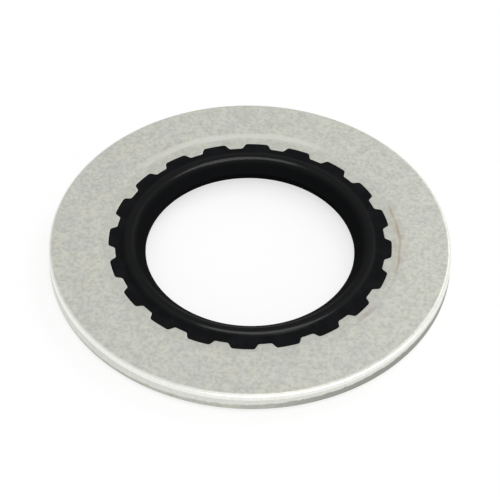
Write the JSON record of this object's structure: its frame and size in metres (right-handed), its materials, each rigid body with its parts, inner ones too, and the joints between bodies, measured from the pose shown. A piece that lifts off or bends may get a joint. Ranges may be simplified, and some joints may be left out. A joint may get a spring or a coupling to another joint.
{
  "type": "bonded sealing washer",
  "caption": "Flat aluminium washer with a black rubber seal moulded into its notched bore; a bead stands proud of each face.",
  "frame": {"origin": "on the axis of the bore, at the level of the lower bead crest, which is what the washer lies on", "axes": "+Z along the axis of the bore, normal to both faces; +X through the middle of one lobe of the seal"},
  "size_m": [0.033, 0.033, 0.0024],
  "materials": {
    "aluminium": "satin, tumbled",
    "rubber": "satin, as moulded"
  },
  "bodies": {
    "root": {"metal_ring": "aluminium", "rubber_seal": "rubber"}
  },
  "joints": []
}
